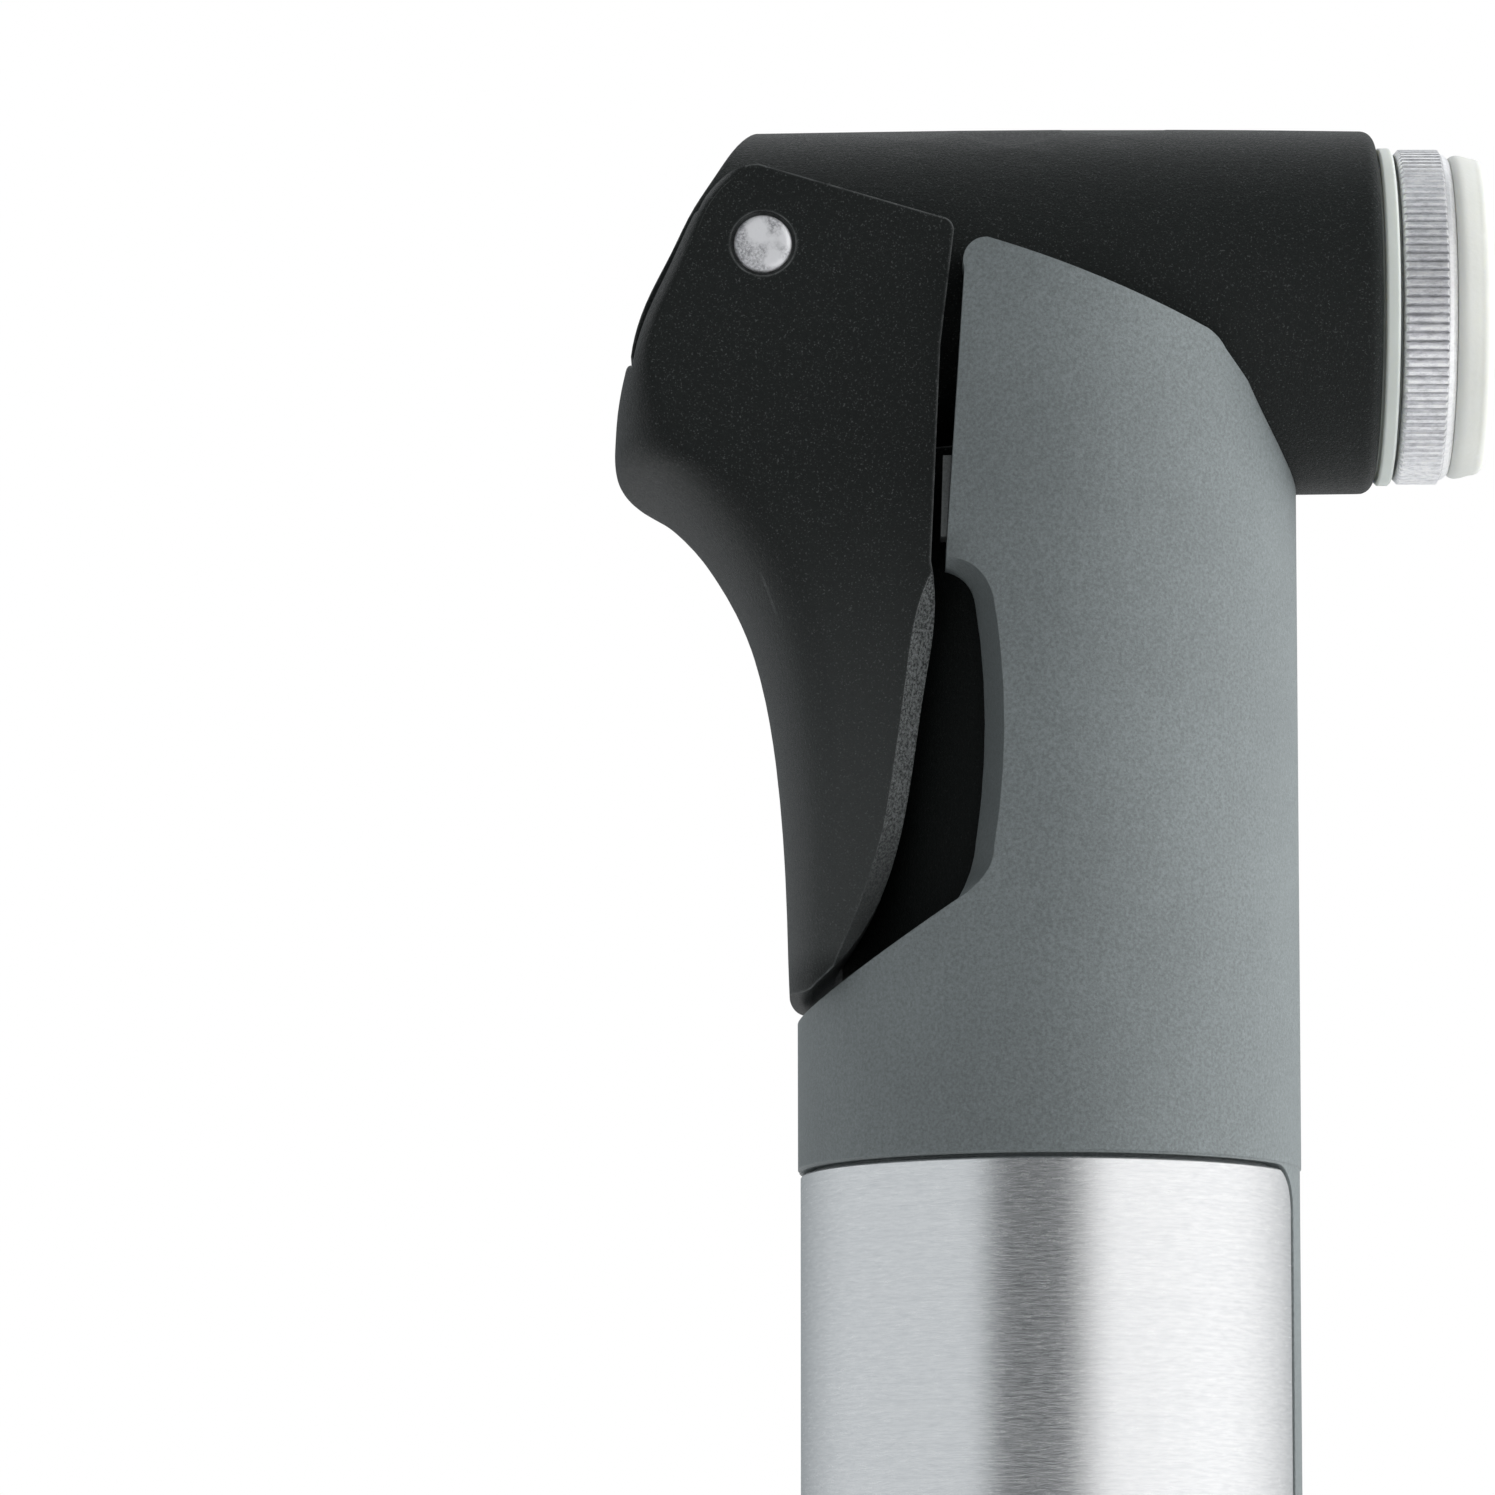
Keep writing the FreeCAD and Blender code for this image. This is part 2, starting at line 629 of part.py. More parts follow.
def handle_grip():
    """The soft grip: shallow round ribs between two plain bands."""
    ribs, pitch, depth, low = 11, 3.0, 0.4, 8.4
    outline = [(GRIP_INNER_R, SLEEVE_LOW_Z + 0.1), (SHELL_R, SLEEVE_LOW_Z + 0.1), (SHELL_R, low)]
    for i in range(ribs):
        z = low + pitch * i
        outline.append(("arc", (SHELL_R - depth, z + 0.55), (SHELL_R, z + 1.1)))
        outline.append(("arc", (SHELL_R + 0.04, z + 0.5 * (1.1 + pitch)), (SHELL_R, z + pitch)))
    outline += [(SHELL_R, GRIP_TOP_Z), (GRIP_INNER_R, GRIP_TOP_Z)]
    return turned(*outline)


def handle_end_cap():
    """The cap that closes the handle: the pump's flat foot."""
    return turned(
        (PLUG_R, 0),
        (SHELL_R - 1.4, 0),
        ("arc", (SHELL_R - 0.41, 0.41), (SHELL_R, 1.4)),
        (SHELL_R, SLEEVE_LOW_Z),
        (CORE_R + 0.28, SLEEVE_LOW_Z),
        (CORE_R + 0.28, ROD_LOW_Z),
        (2.05, ROD_LOW_Z),
        (2.05, SCREW_SEAT_Z),
        (PLUG_R, SCREW_SEAT_Z),
    )


def rod_screw():
    """The socket screw that holds the rod to the cap."""
    head = upright(3.4, PLUG_T + 0.2, SCREW_SEAT_Z)
    shank = upright(1.97, SCREW_SEAT_Z, 13.5)
    across_flats = 3.0
    corners = []
    for i in range(7):
        a = math.radians(60 * i)
        r = across_flats / math.sqrt(3)
        corners.append(Vector(r * math.cos(a), r * math.sin(a), 0))
    socket = Part.Face(Part.makePolygon(corners)).extrude(Vector(0, 0, 2.2))
    return head.fuse(shank).cut(socket).removeSplitter()


def base_plug():
    """The disc that covers the screw, flush with the foot."""
    return upright(PLUG_R - 0.02, 0, PLUG_T)


NODES = {
    "pump_housing": pump_housing,
    "barrel_shell": barrel_shell,
    "pump_cylinder": pump_cylinder,
    "head_shell": head_shell,
    "threaded_sleeve": threaded_sleeve,
    "ring_nut": ring_nut,
    "valve_guide": valve_guide,
    "valve_grommet": valve_grommet,
    "plunger": plunger,
    "plunger_o_rings": plunger_o_rings,
    "lever": lever,
    "lever_pin": lever_pin,
    "lever_cam": lever_cam,
    "lever_stop_pads": lever_stop_pads,
    "bumper_ring": bumper_ring,
    "neck_o_ring": neck_o_ring,
    "check_valve_seat": check_valve_seat,
    "check_valve_ball": check_valve_ball,
    "check_valve_spring": check_valve_spring,
    "rod_guide": rod_guide,
    "rod_bumper": rod_bumper,
    "piston_rod": piston_rod,
    "piston": piston,
    "piston_o_ring": piston_o_ring,
    "handle_sleeve": handle_sleeve,
    "handle_grip": handle_grip,
    "handle_end_cap": handle_end_cap,
    "rod_screw": rod_screw,
    "base_plug": base_plug,
}

os.makedirs("parts", exist_ok=True)
for name, make in NODES.items():
    shape = make()
    shape.exportStep(os.path.join("parts", name + ".step"))
    print(f"{name}: {len(shape.Solids)} solids, valid {shape.isValid()}, {shape.Volume:.1f} mm3")
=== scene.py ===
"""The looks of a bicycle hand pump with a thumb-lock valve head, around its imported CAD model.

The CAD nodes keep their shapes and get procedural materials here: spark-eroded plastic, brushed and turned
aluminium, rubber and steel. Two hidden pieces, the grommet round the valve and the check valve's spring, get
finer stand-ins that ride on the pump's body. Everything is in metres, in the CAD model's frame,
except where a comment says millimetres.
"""

import math

import bmesh
import bpy
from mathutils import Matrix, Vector


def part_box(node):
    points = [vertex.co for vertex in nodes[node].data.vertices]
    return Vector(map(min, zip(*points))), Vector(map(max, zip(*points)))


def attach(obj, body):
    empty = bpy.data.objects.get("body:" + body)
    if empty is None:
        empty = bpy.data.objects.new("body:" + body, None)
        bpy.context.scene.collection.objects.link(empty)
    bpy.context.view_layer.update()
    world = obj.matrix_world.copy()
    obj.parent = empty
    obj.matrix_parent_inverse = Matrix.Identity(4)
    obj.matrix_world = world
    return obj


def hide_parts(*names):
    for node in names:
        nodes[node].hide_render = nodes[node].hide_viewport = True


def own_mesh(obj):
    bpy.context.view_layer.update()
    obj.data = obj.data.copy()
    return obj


MM = 0.001
NUT_LIP = 0.45           # width of the plain lip beside the nut's teeth, in millimetres
TOOTH_ROOT = 9.14, 9.34  # radii over which the painted shade at the roots of the nut's teeth ends, in millimetres
NECK_SHADE_END = 186.6, 187.6  # heights over which the painted shade and lower gloss on the head's neck end, in millimetres
GROMMET_WALL = 3.55      # between the grommet's outside and its bore, in millimetres
SPRING_WIRE = 0.2        # radius of the check valve spring's wire, in millimetres
SPRING_GAP = 0.12        # between the spring's lowest turn and the bottom of its space, in millimetres

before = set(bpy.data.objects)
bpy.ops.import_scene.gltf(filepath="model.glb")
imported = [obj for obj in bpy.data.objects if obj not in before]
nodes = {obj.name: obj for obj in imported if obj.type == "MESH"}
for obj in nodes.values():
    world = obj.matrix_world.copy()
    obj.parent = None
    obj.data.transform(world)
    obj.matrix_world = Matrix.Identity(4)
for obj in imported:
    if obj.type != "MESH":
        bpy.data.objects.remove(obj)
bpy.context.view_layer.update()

nut_low, nut_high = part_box("ring_nut")
PORT_Z = (nut_low.z + nut_high.z) / 2 / MM    # height of the valve port's axis, in millimetres
KNURL_END_X = nut_high.x / MM - NUT_LIP       # where the nut's teeth end and its lip begins, in millimetres
PAINTED_GLINT_GREY = (0.45, 0.47, 0.47)             # the colour of the painted glints on the grain and the painted highlights along edges


# ---- node materials ------------------------------------------------------------------------------
class Material:
    """A Principled material and short calls for the nodes that feed it. Texture sizes are in millimetres."""

    def __init__(self, name, **values):
        self.material = bpy.data.materials.new(name)
        self.material.use_nodes = True
        self.tree = self.material.node_tree
        self.shader = self.tree.nodes["Principled BSDF"]
        self.normal = None
        for key, value in values.items():
            self.shader.inputs[key.replace("_", " ").title().replace("Ior", "IOR")].default_value = value

    def add(self, kind, **inputs):
        """A node of that kind. An input is a number, a vector or another node's output."""
        node = self.tree.nodes.new(kind)
        for key, value in inputs.items():
            socket = node.inputs[key]
            if isinstance(value, bpy.types.NodeSocket):
                self.tree.links.new(value, socket)
            else:
                socket.default_value = value
        return node

    def link(self, output, name):
        self.tree.links.new(output, self.shader.inputs[name])

    def place(self, stretch=(1, 1, 1)):
        """The point on the object in millimetres, stretched along its axes."""
        point = self.add("ShaderNodeTexCoord").outputs["Object"]
        scale = tuple(s / MM for s in stretch)
        return self.add("ShaderNodeMapping", Vector=point, Scale=scale).outputs["Vector"]

    def round_place(self, around, along):
        """The point unrolled about the Z axis: angle times around, and height in millimetres times along."""
        point = self.add("ShaderNodeTexCoord").outputs["Object"]
        split = self.add("ShaderNodeSeparateXYZ", Vector=point)
        angle = self.maths("ARCTAN2", split.outputs["Y"], split.outputs["X"])
        turn = self.maths("MULTIPLY", angle, around)
        height = self.maths("MULTIPLY", split.outputs["Z"], along / MM)
        return self.add("ShaderNodeCombineXYZ", X=turn, Y=height).outputs["Vector"]

    def maths(self, operation, a, b=0.0):
        node = self.tree.nodes.new("ShaderNodeMath")
        node.operation = operation
        for socket, value in zip(node.inputs, (a, b)):
            if isinstance(value, bpy.types.NodeSocket):
                self.tree.links.new(value, socket)
            else:
                socket.default_value = value
        return node.outputs["Value"]

    def noise(self, place, size, detail=2.0, roughness=0.5):
        """Noise from 0 to 1 whose lumps are about size millimetres across."""
        node = self.add(
            "ShaderNodeTexNoise", Vector=place, Scale=1 / size, Detail=detail, Roughness=roughness,
        )
        return node.outputs["Fac"]

    def ramp(self, factor, *stops):
        """A ramp of (position, value) stops, where a value is a number or a colour."""
        node = self.add("ShaderNodeValToRGB", Fac=factor)
        marks = node.color_ramp.elements
        while len(marks) < len(stops):
            marks.new(0.5)
        for mark, (position, value) in zip(marks, stops):
            mark.position = position
            colour = value if isinstance(value, tuple) else (value, value, value)
            mark.color = (*colour, 1)
        return node.outputs["Color"]

    def bump(self, height, distance):
        """Adds relief: distance is its full height in millimetres."""
        node = self.add("ShaderNodeBump", Height=height, Distance=distance * MM, Strength=1.0)
        if self.normal is not None:
            self.tree.links.new(self.normal, node.inputs["Normal"])
        self.normal = node.outputs["Normal"]
        self.link(self.normal, "Normal")

    def soft_edges(self, radius):
        """Sharp edges catch the light as if they were rounded by radius millimetres."""
        self.normal = self.add("ShaderNodeBevel", Radius=radius * MM).outputs["Normal"]
        self.link(self.normal, "Normal")

    def edge_mask(self, radius):
        """1 within about radius millimetres of a sharp edge, and 0 on open faces."""
        rounded = self.add("ShaderNodeBevel", Radius=radius * MM)
        rounded.samples = 8
        turned = self.add("ShaderNodeVectorMath")
        turned.operation = "DOT_PRODUCT"
        self.tree.links.new(rounded.outputs["Normal"], turned.inputs[0])
        self.tree.links.new(self.add("ShaderNodeNewGeometry").outputs["Normal"], turned.inputs[1])
        return self.ramp(turned.outputs["Value"], (0.80, 1.0), (0.975, 0.0))

    def coat(self, factor, colour):
        """Another colour over the base colour so far."""
        self.base = self.mix(factor, self.base, colour)
        self.link(self.base, "Base Color")

    def parts_of(self, output):
        """The X, Y and Z of the point on the object, in millimetres, or of its Normal."""
        vector = self.add("ShaderNodeTexCoord").outputs[output]
        scale = 1 / MM if output == "Object" else 1.0
        scaled = self.add("ShaderNodeMapping", Vector=vector, Scale=(scale,) * 3).outputs["Vector"]
        split = self.add("ShaderNodeSeparateXYZ", Vector=scaled)
        return [split.outputs[axis] for axis in "XYZ"]

    def fade(self, value, low, high):
        """0 below low, 1 above high and a smooth step between."""
        node = self.add("ShaderNodeMapRange", Value=value)
        node.interpolation_type = "SMOOTHSTEP"
        node.inputs["From Min"].default_value = low
        node.inputs["From Max"].default_value = high
        return node.outputs["Result"]

    def band(self, value, rise, fall):
        """1 between two stretches, each (low, high): it rises over the first and falls over the second."""
        return self.maths("SUBTRACT", self.fade(value, *rise), self.fade(value, *fall))

    def mix(self, factor, under, over, blend="MIX"):
        """Two colours blended. A colour is a tuple or a node's output."""
        def full(colour):
            return (*colour, 1) if isinstance(colour, tuple) else colour

        node = self.add("ShaderNodeMixRGB", Fac=factor, Color1=full(under), Color2=full(over))
        node.blend_type = blend
        return node.outputs["Color"]


def moulded_plastic(name, colour, roughness, gloss, relief, glint_paint, edge_highlight_paint, mottle=0.8):
    """Moulded plastic with a spark-eroded grain, with painted glints on its tiny facets and painted
    highlights along its edges.
    """
    m = Material(name, specular_ior_level=gloss)
    place = m.place()
    m.soft_edges(0.12)
    edges = m.maths("MULTIPLY", m.edge_mask(0.3), m.ramp(m.noise(place, 0.9, 3.0), (0.3, 0.25), (0.6, 1.0)))
    cloud = m.noise(place, 9.0, 3.0)
    fine = m.noise(place, 0.18, 4.0, 0.75)
    speck = m.noise(place, 0.11, 1.0, 0.8)
    dark = tuple(0.93 * c for c in colour)
    light = tuple(1.06 * c for c in colour)
    smooth = m.ramp(cloud, (0.3, dark), (0.7, light))
    m.base = m.mix(mottle, smooth, m.ramp(fine, (0.34, 0.5), (0.66, 1.5)), "MULTIPLY")
    # painted glints: pale specks stand in for light sparkling on the grain's facets
    m.coat(m.ramp(speck, (0.6, 0.0), (0.76, glint_paint)), PAINTED_GLINT_GREY)
    # painted highlights: pale edges, broken up by noise, stand in for light caught on them
    m.coat(m.maths("MULTIPLY", edges, edge_highlight_paint), PAINTED_GLINT_GREY)
    low, high = roughness
    m.link(m.ramp(fine, (0.3, low), (0.7, high)), "Roughness")
    m.bump(fine, relief)
    return m


def black_plastic(name):
    return moulded_plastic(
        name, (0.0045, 0.0066, 0.0062),
        roughness=(0.42, 0.6), gloss=0.25, relief=0.12, glint_paint=0.13, edge_highlight_paint=0.3,
    )


def head_plastic(name):
    """Black plastic, duller on the head's neck, inside the recess, with painted shade darkening it there."""
    m = black_plastic(name)
    height = m.parts_of("Object")[2]
    neck = m.maths("SUBTRACT", 1.0, m.fade(height, *NECK_SHADE_END))
    # painted shade: the neck inside the recess is darkened
    m.coat(m.maths("MULTIPLY", neck, 0.8), (0.001, 0.002, 0.0018))
    m.link(m.maths("SUBTRACT", 0.27, m.maths("MULTIPLY", neck, 0.12)), "Specular IOR Level")
    return m


def lever_plastic(name):
    """Black plastic, with painted light towards the lever's tip and a coarse grain with painted highlights on
    its bevelled inner edges.
    """
    m = black_plastic(name)
    height = m.parts_of("Object")[2]
    tip_light = m.band(height, (160.0, 162.0), (163.0, 189.0))
    # painted light: the lever is lightened in a band towards its tip
    m.coat(m.maths("MULTIPLY", tip_light, 0.11), (0.4, 0.42, 0.42))
    across, sideways, _ = m.parts_of("Normal")
    bevel = m.maths("MULTIPLY", m.fade(across, 0.3, 0.55), m.fade(m.maths("ABSOLUTE", sideways), 0.3, 0.5))
    ends = m.band(height, (162.0, 171.0), (182.1, 182.9))
    grain = m.noise(m.place(), 0.15, 3.0, 0.75)
    grit_highlight = m.ramp(grain, (0.40, 0.05), (0.62, 0.8))
    # painted highlight: pale specks on the bevelled inner edges, which face the light; the grain's bump is
    # real
    m.coat(m.maths("MULTIPLY", m.maths("MULTIPLY", bevel, ends), grit_highlight), (0.36, 0.38, 0.38))
    m.bump(grain, 0.05)
    return m


def housing_plastic(name):
    """Grey plastic, with painted shade on the bevel round the lever's recess."""
    m = moulded_plastic(
        name, (0.174, 0.197, 0.201),
        roughness=(0.40, 0.5), gloss=0.5, relief=0.03, glint_paint=0.16, edge_highlight_paint=0.08, mottle=0.5,
    )
    height = m.parts_of("Object")[2]
    across, sideways, _ = m.parts_of("Normal")
    inward = m.fade(m.maths("MULTIPLY", across, -1.0), 0.25, 0.5)
    bevel = m.maths("MULTIPLY", inward, m.fade(m.maths("ABSOLUTE", sideways), 0.2, 0.4))
    recess = m.band(height, (164.0, 165.0), (183.5, 184.5))
    # painted shade: the bevel round the recess is darkened
    m.coat(m.maths("MULTIPLY", m.maths("MULTIPLY", bevel, recess), 0.5), (0.055, 0.062, 0.062))
    return m


def brushed_aluminium(name):
    """Anodised plate, brushed round the barrel in fine broken lines."""
    m = Material(name, metallic=1.0, anisotropic=0.7, anisotropic_rotation=0.25)
    m.soft_edges(0.1)
    tangent = m.add("ShaderNodeTangent")
    tangent.direction_type = "RADIAL"
    tangent.axis = "Z"
    m.link(tangent.outputs["Tangent"], "Tangent")
    lines = m.noise(m.round_place(2.2, 1.0), 0.16, 4.0, 0.7)
    long_lines = m.noise(m.round_place(0.7, 1.0), 0.5, 2.0, 0.6)
    wear = m.noise(m.place(), 14.0, 3.0)
    both = m.maths("ADD", m.maths("MULTIPLY", lines, 0.75), m.maths("MULTIPLY", long_lines, 0.25))
    m.link(m.ramp(both, (0.3, (0.77, 0.78, 0.795)), (0.7, (0.94, 0.945, 0.95))), "Base Color")
    smudges = m.maths("MULTIPLY", wear, 0.05)
    m.link(m.maths("ADD", m.ramp(lines, (0.3, 0.18), (0.7, 0.26)), smudges), "Roughness")
    m.bump(both, 0.012)
    return m


def turned_aluminium(name):
    """Machined metal with fine lathe rings about the head's axis, dull patches, painted shade at the roots of
    the nut's teeth and a painted sheen that whitens its plain lip.
    """
    m = Material(name, metallic=1.0)
    m.soft_edges(0.06)
    rings = m.noise(m.place((1.0, 0.02, 0.02)), 0.14, 3.0)
    strokes = m.noise(m.place((0.35, 1.0, 1.0)), 0.22, 3.0, 0.7)
    grime = m.noise(m.place(), 0.8, 3.0)
    metal = m.ramp(grime, (0.35, (0.86, 0.86, 0.885)), (0.65, (0.96, 0.96, 0.98)))
    metal = m.mix(0.4, metal, m.ramp(strokes, (0.32, 0.45), (0.6, 1.3)), "MULTIPLY")
    along, side, height = m.parts_of("Object")
    rise = m.maths("SUBTRACT", height, PORT_Z)
    radius = m.maths("SQRT", m.maths("ADD", m.maths("MULTIPLY", side, side), m.maths("MULTIPLY", rise, rise)))
    lip = m.fade(along, KNURL_END_X - 0.05, KNURL_END_X + 0.05)
    # painted shade: the roots of the nut's teeth are darkened, except on the lip
    unshaded = m.maths("MAXIMUM", m.fade(radius, *TOOTH_ROOT), lip)
    metal = m.mix(0.65, metal, m.ramp(unshaded, (0.0, 0.35), (1.0, 1.0)), "MULTIPLY")
    # painted sheen: the nut's plain lip is whitened
    metal = m.mix(m.maths("MULTIPLY", lip, 0.6), metal, (1.0, 1.0, 1.0))
    m.link(metal, "Base Color")
    m.link(m.ramp(rings, (0.3, 0.34), (0.7, 0.5)), "Roughness")
    m.bump(rings, 0.012)
    m.bump(strokes, 0.03)
    return m


def bright_steel(name):
    """Satin steel with a dull spotted face, and a painted highlight in white round its rim."""
    m = Material(name, metallic=0.45)
    m.soft_edges(0.3)
    rim = m.edge_mask(0.45)
    patch = m.noise(m.place(), 1.5, 2.0, 0.5)
    spots = m.noise(m.place(), 0.16, 3.0, 0.7)
    spotted = m.ramp(spots, (0.4, 0.25), (0.6, 1.0))
    dull = m.maths("MULTIPLY", m.ramp(patch, (0.42, 0.0), (0.58, 1.0)), spotted)
    m.base = m.mix(dull, (0.84, 0.84, 0.86), (0.32, 0.32, 0.34))
    # painted highlight: the rim is painted white
    m.coat(rim, (1.0, 1.0, 1.0))
    m.link(m.ramp(spots, (0.3, 0.62), (0.7, 0.45)), "Roughness")
    m.bump(spots, 0.02)
    return m


def drawn_aluminium(name):
    """A drawn tube: faint lines along its length."""
    m = Material(name, metallic=1.0)
    m.soft_edges(0.1)
    lines = m.noise(m.round_place(9.0, 0.02), 0.35, 3.0)
    m.link(m.ramp(lines, (0.3, 0.16), (0.7, 0.28)), "Roughness")
    m.link(m.ramp(lines, (0.2, (0.76, 0.77, 0.78)), (0.8, (0.86, 0.86, 0.87))), "Base Color")
    m.bump(lines, 0.006)
    return m


def waxy(name, colour, glow):
    """A pale natural plastic or elastomer that lets a little light in."""
    m = Material(name, subsurface_weight=0.25, subsurface_radius=(1.2, 1.1, 0.8), specular_ior_level=0.5)
    m.shader.inputs["Subsurface Scale"].default_value = glow * MM
    m.soft_edges(0.15)
    cloud = m.noise(m.place(), 3.0, 3.0)
    fine = m.noise(m.place(), 0.25, 2.0)
    dark = tuple(0.95 * c for c in colour)
    m.link(m.ramp(cloud, (0.3, dark), (0.7, colour)), "Base Color")
    m.link(m.ramp(fine, (0.3, 0.38), (0.7, 0.5)), "Roughness")
    m.bump(fine, 0.008)
    return m


def rubber(name, colour, roughness=0.75, relief=0.02):
    """Matte rubber with a dusty bloom."""
    m = Material(name, specular_ior_level=0.35)
    m.soft_edges(0.1)
    bloom = m.noise(m.place(), 4.0, 4.0, 0.6)
    fine = m.noise(m.place(), 0.2, 2.0)
    light = tuple(1.35 * c + 0.002 for c in colour)
    m.link(m.ramp(bloom, (0.35, colour), (0.75, light)), "Base Color")
    m.link(m.ramp(fine, (0.3, roughness - 0.08), (0.7, roughness + 0.1)), "Roughness")
    m.bump(fine, relief)
    return m


FINISHES = {
    "grey_plastic": housing_plastic("grey_plastic"),
    "dark_grey_plastic": moulded_plastic(
        "dark_grey_plastic", (0.055, 0.06, 0.06),
        roughness=(0.45, 0.6), gloss=0.4, relief=0.03, glint_paint=0.05, edge_highlight_paint=0.05,
    ),
    "black_plastic": black_plastic("black_plastic"),
    "head_plastic": head_plastic("head_plastic"),
    "lever_plastic": lever_plastic("lever_plastic"),
    "brushed_aluminium": brushed_aluminium("brushed_aluminium"),
    "turned_aluminium": turned_aluminium("turned_aluminium"),
    "pale_plastic": waxy("pale_plastic", (0.70, 0.74, 0.70), 0.8),
    "cream_rubber": waxy("cream_rubber", (0.79, 0.80, 0.76), 1.0),
    "black_rubber": rubber("black_rubber", (0.014, 0.014, 0.014)),
    "grip_rubber": rubber("grip_rubber", (0.022, 0.024, 0.024), 0.7, 0.03),
    "pin_steel": bright_steel("pin_steel"),
    "rod_aluminium": drawn_aluminium("rod_aluminium"),
}


def paint(piece, finish):
    piece.data.materials.clear()
    piece.data.materials.append(FINISHES[finish].material)


for subpart in nodes.values():
    paint(subpart, subpart.material_slots[0].name)
paint(nodes["head_shell"], "head_plastic")
paint(nodes["lever"], "lever_plastic")


# ---- the stand-ins for hidden parts --------------------------------------------------------------
def rings_to_mesh(name, rings, closed):
    """Joins rings of points, one after the other, into a tube. A tube that isn't closed gets flat ends."""
    mesh = bpy.data.meshes.new(name)
    form = bmesh.new()
    rows = [[form.verts.new(point) for point in ring] for ring in rings]
    pairs = list(zip(rows, rows[1:]))
    if closed:
        pairs.append((rows[-1], rows[0]))
    for near, far in pairs:
        for i in range(len(near)):
            j = (i + 1) % len(near)
            form.faces.new((near[i], near[j], far[j], far[i]))
    if not closed:
        form.faces.new(rows[0])
        form.faces.new(rows[-1])
    bmesh.ops.recalc_face_normals(form, faces=form.faces)
    for face in form.faces:
        face.smooth = True
    form.to_mesh(mesh)
    form.free()
    piece = bpy.data.objects.new(name, mesh)
    bpy.context.scene.collection.objects.link(piece)
    return piece


def stand_in_for(node_name, piece, finish):
    """The piece takes the CAD node's place, gets its finish and rides on the pump's body."""
    paint(piece, finish)
    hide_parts(node_name)
    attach(piece, "pump")
    bpy.context.view_layer.update()
    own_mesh(piece)


def grommet_form(name, low, high):
    """A rubber sleeve round the valve, with rounded rims, two outer grooves and three sealing ribs inside."""
    left, right = low.x, high.x
    outer, length = (high.y - low.y) / 2, right - left
    inner = outer - GROMMET_WALL * MM
    section = []
    steps = 40

    def rim(t):
        """How far the wall is rounded off at this share of the length."""
        end = min(t, 1 - t) * length
        return max(0.0, 1 - end / (0.4 * MM)) ** 2 * 0.3 * MM

    for i in range(steps + 1):
        t = i / steps
        groove = 0.25 * MM * max(0.0, math.cos(math.tau * 2 * (t - 0.25))) ** 6
        section.append((left + t * length, outer - rim(t) - groove))
    for i in range(steps + 1):
        t = 1 - i / steps
        rib = 0.12 * MM * (1 - math.cos(math.tau * 3 * t)) / 2
        section.append((left + t * length, inner + 0.15 * MM - rib + rim(t)))
    rings = []
    for k in range(96):
        a = math.tau * k / 96
        rings.append([(x, r * math.cos(a), PORT_Z * MM + r * math.sin(a)) for x, r in section])
    return rings_to_mesh(name, rings, True)


def spring_form(name, low, high):
    """A coil of round wire, with its end turns closed up."""
    wire = SPRING_WIRE * MM
    coil = (high.x - low.x) / 2 - wire
    bottom, height = low.z + wire + SPRING_GAP * MM, high.z - low.z - 2 * wire - SPRING_GAP * MM
    turns, steps = 6, 360
    rings = []
    for i in range(steps + 1):
        t = i / steps
        a = math.tau * turns * t
        rise = bottom + height * (t - 0.1 * math.sin(math.tau * t))
        out = Vector((math.cos(a), math.sin(a), 0))
        centre = out * coil + Vector((0, 0, rise))
        ring = []
        for k in range(12):
            b = math.tau * k / 12
            ring.append(centre + out * (wire * math.cos(b)) + Vector((0, 0, wire * math.sin(b))))
        rings.append(ring)
    return rings_to_mesh(name, rings, False)


low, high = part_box("valve_grommet")
stand_in_for(
    "valve_grommet", grommet_form("grommet_sleeve", low, high), "black_rubber",
)
low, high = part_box("check_valve_spring")
stand_in_for(
    "check_valve_spring", spring_form("valve_spring_coil", low, high), "pin_steel",
)


# ---- the studio ----------------------------------------------------------------------------------
LENS, SENSOR = 215.0, 36.0
CAMERA_DISTANCE = 0.5
CAMERA_AIM = Vector((-0.0168, 0, 0.1739))
CAMERA_PITCH = math.radians(7.5)
CAMERA_AT = CAMERA_AIM - CAMERA_DISTANCE * Vector((0, math.cos(CAMERA_PITCH), math.sin(CAMERA_PITCH)))

# the studio's screens: where each starts and ends, in degrees from the camera's side with the right positive,
# and its brightness
SCREENS = (
    (-100, -40, 0.6),    # grey, on the left
    (-20, 0, 0.05),      # the dark side, where the camera stands
    (30, 90, 1.0),       # white, on the right
)
BACK_WALL = 0.3          # brightness of the wall behind the pump
CEILING = (0.40, 0.42, 0.43)
HIGH_BACKDROP = (1.2, 1.22, 1.24)    # a white sheet high behind the pump
AMBIENT = 0.72           # how much of the surroundings' light falls on matt surfaces
FLOOR_RADIUS = 1.6
FLOOR_GLOW = 0.08        # the floor is a white sheet lit from below as well
FAR_GLOW = 0.55          # and fades into the white background


def make_camera():
    lens = bpy.data.cameras.new("camera")
    lens.lens, lens.sensor_width = LENS, SENSOR
    lens.clip_start, lens.clip_end = 0.01, 20
    camera = bpy.data.objects.new("camera", lens)
    camera.location = CAMERA_AT
    camera.rotation_euler = (math.pi / 2 + CAMERA_PITCH, 0, 0)
    bpy.context.scene.collection.objects.link(camera)
    bpy.context.scene.camera = camera


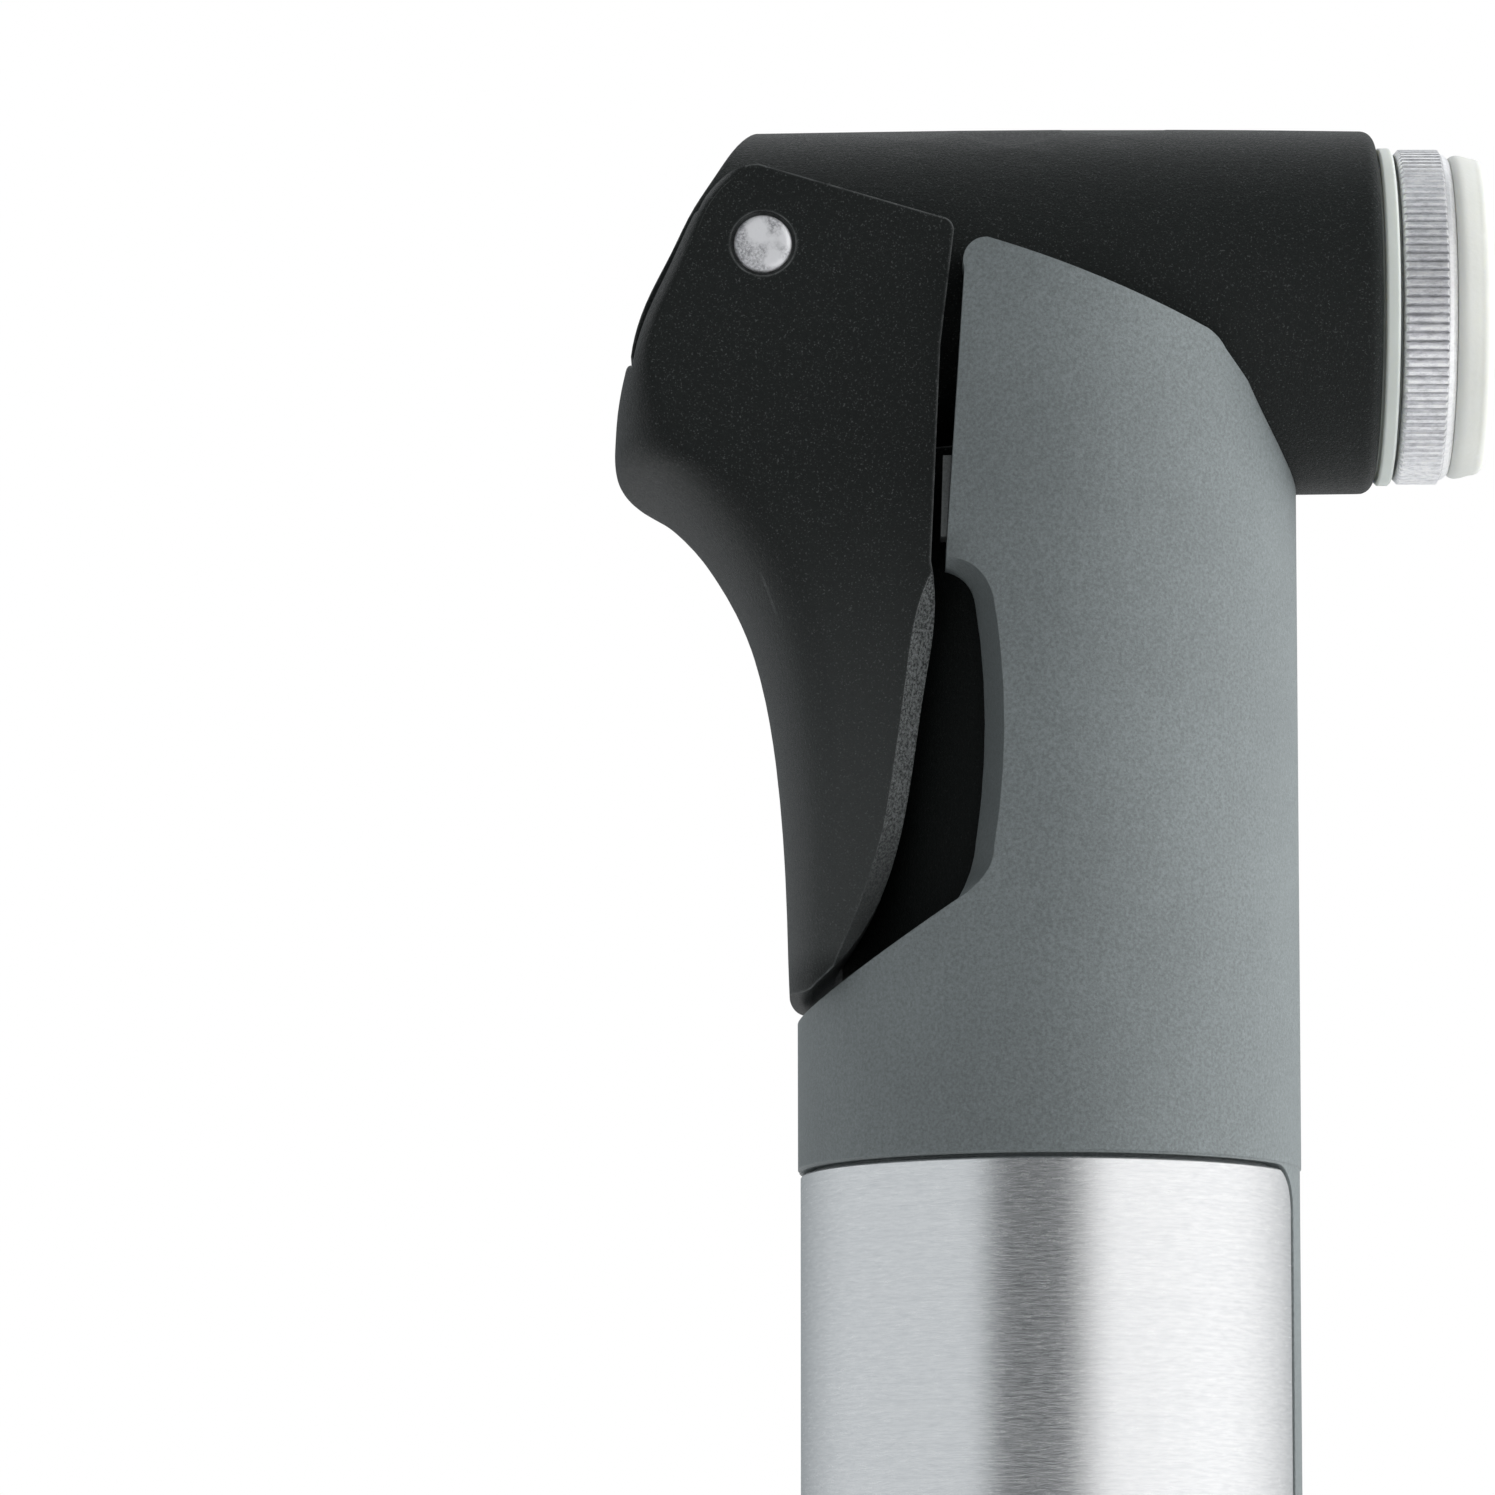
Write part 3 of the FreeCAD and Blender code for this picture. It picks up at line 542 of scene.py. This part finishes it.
def make_surroundings():
    """The screens, the wall behind, a grey ceiling and a high backdrop. The camera sees plain white."""
    world = bpy.data.worlds.new("studio")
    bpy.context.scene.world = world
    world.use_nodes = True
    tree = world.node_tree
    tree.nodes.clear()

    def node(kind, **settings):
        made = tree.nodes.new(kind)
        for key, value in settings.items():
            setattr(made, key, value)
        return made

    def join(output, socket):
        tree.links.new(output, socket)

    direction = node("ShaderNodeTexCoord")
    split = node("ShaderNodeSeparateXYZ")
    join(direction.outputs["Generated"], split.inputs["Vector"])
    flipped = node("ShaderNodeMath", operation="MULTIPLY")
    flipped.inputs[1].default_value = -1
    join(split.outputs["Y"], flipped.inputs[0])
    angle = node("ShaderNodeMath", operation="ARCTAN2")
    join(split.outputs["X"], angle.inputs[0])
    join(flipped.outputs[0], angle.inputs[1])
    share = node("ShaderNodeMapRange")
    share.inputs["From Min"].default_value = -math.pi
    share.inputs["From Max"].default_value = math.pi
    join(angle.outputs[0], share.inputs["Value"])
    walls = node("ShaderNodeValToRGB")
    walls.color_ramp.interpolation = "EASE"
    stops = [(-180, BACK_WALL)]
    for start, end, bright in SCREENS:
        stops += [(start, bright), (end, bright)]
    stops.append((180, BACK_WALL))
    marks = walls.color_ramp.elements
    while len(marks) < len(stops):
        marks.new(0.5)
    for mark, (degrees, bright) in zip(marks, stops):
        mark.position = (degrees + 180) / 360
        cool = max(0.0, 1.0 - bright) * 0.11
        mark.color = (bright * (1 - cool), bright, bright * (1 + 0.6 * cool), 1)
    join(share.outputs["Result"], walls.inputs["Fac"])

    def fade(output, low, high):
        made = node("ShaderNodeMapRange", interpolation_type="SMOOTHSTEP")
        made.inputs["From Min"].default_value = low
        made.inputs["From Max"].default_value = high
        join(output, made.inputs["Value"])
        return made.outputs["Result"]

    def blend(factor, under, over):
        made = node("ShaderNodeMixRGB")
        join(factor, made.inputs["Fac"])
        join(under, made.inputs["Color1"])
        made.inputs["Color2"].default_value = (*over, 1)
        return made.outputs["Color"]

    colour = blend(fade(split.outputs["Z"], 0.45, 0.95), walls.outputs["Color"], CEILING)
    behind = node("ShaderNodeMath", operation="MULTIPLY")
    join(fade(split.outputs["Y"], 0.1, 0.7), behind.inputs[0])
    join(fade(split.outputs["Z"], 0.25, 0.6), behind.inputs[1])
    colour = blend(behind.outputs[0], colour, HIGH_BACKDROP)
    lit = node("ShaderNodeBackground")
    join(colour, lit.inputs["Color"])

    seen = node("ShaderNodeBackground")
    seen.inputs["Color"].default_value = (1, 1, 1, 1)
    path = node("ShaderNodeLightPath")
    strength = node("ShaderNodeMapRange")
    strength.inputs["To Min"].default_value = 1.0
    strength.inputs["To Max"].default_value = AMBIENT
    join(path.outputs["Is Diffuse Ray"], strength.inputs["Value"])
    join(strength.outputs["Result"], lit.inputs["Strength"])
    choice = node("ShaderNodeMixShader")
    join(path.outputs["Is Camera Ray"], choice.inputs["Fac"])
    join(lit.outputs["Background"], choice.inputs[1])
    join(seen.outputs["Background"], choice.inputs[2])
    out = node("ShaderNodeOutputWorld")
    join(choice.outputs["Shader"], out.inputs["Surface"])


def softbox(name, azimuth, height, distance, size, power):
    """A square lamp that reflections don't show. Azimuth 0 is the camera's side and 90 the right."""
    light = bpy.data.lights.new(name, "AREA")
    light.shape, light.size, light.energy = "SQUARE", size, power
    lamp = bpy.data.objects.new(name, light)
    aim = Vector((0, 0, 0.17))
    a = math.radians(azimuth)
    lamp.location = aim + Vector((math.sin(a), -math.cos(a), height)) * distance
    lamp.rotation_euler = (lamp.location - aim).to_track_quat("Z", "Y").to_euler()
    lamp.visible_glossy = False
    bpy.context.scene.collection.objects.link(lamp)


def make_floor():
    """A plain pale disc under the pump."""
    mesh = bpy.data.meshes.new("floor")
    grid = bmesh.new()
    bmesh.ops.create_circle(grid, cap_ends=True, radius=FLOOR_RADIUS, segments=96)
    grid.to_mesh(mesh)
    grid.free()
    floor = bpy.data.objects.new("floor", mesh)
    bpy.context.scene.collection.objects.link(floor)
    matt = Material("floor", roughness=0.9, specular_ior_level=0.1, emission_color=(1, 1, 1, 1))
    x, y, _ = matt.parts_of("Object")
    away = matt.maths("SQRT", matt.maths("ADD", matt.maths("MULTIPLY", x, x), matt.maths("MULTIPLY", y, y)))
    glow = matt.maths("MULTIPLY", matt.fade(away, 150.0, 1500.0), FAR_GLOW - FLOOR_GLOW)
    matt.link(matt.maths("ADD", glow, FLOOR_GLOW), "Emission Strength")
    cloud = matt.noise(matt.place(), 90.0, 2.0)
    matt.link(matt.ramp(cloud, (0.3, (0.85, 0.85, 0.85)), (0.7, (0.88, 0.88, 0.88))), "Base Color")
    mesh.materials.append(matt.material)


make_camera()
make_surroundings()
softbox("key", azimuth=85, height=0.3, distance=0.9, size=0.5, power=8.0)
softbox("top", azimuth=10, height=1.6, distance=0.11, size=0.08, power=0.05)
make_floor()
bpy.context.scene.view_settings.view_transform = "Standard"
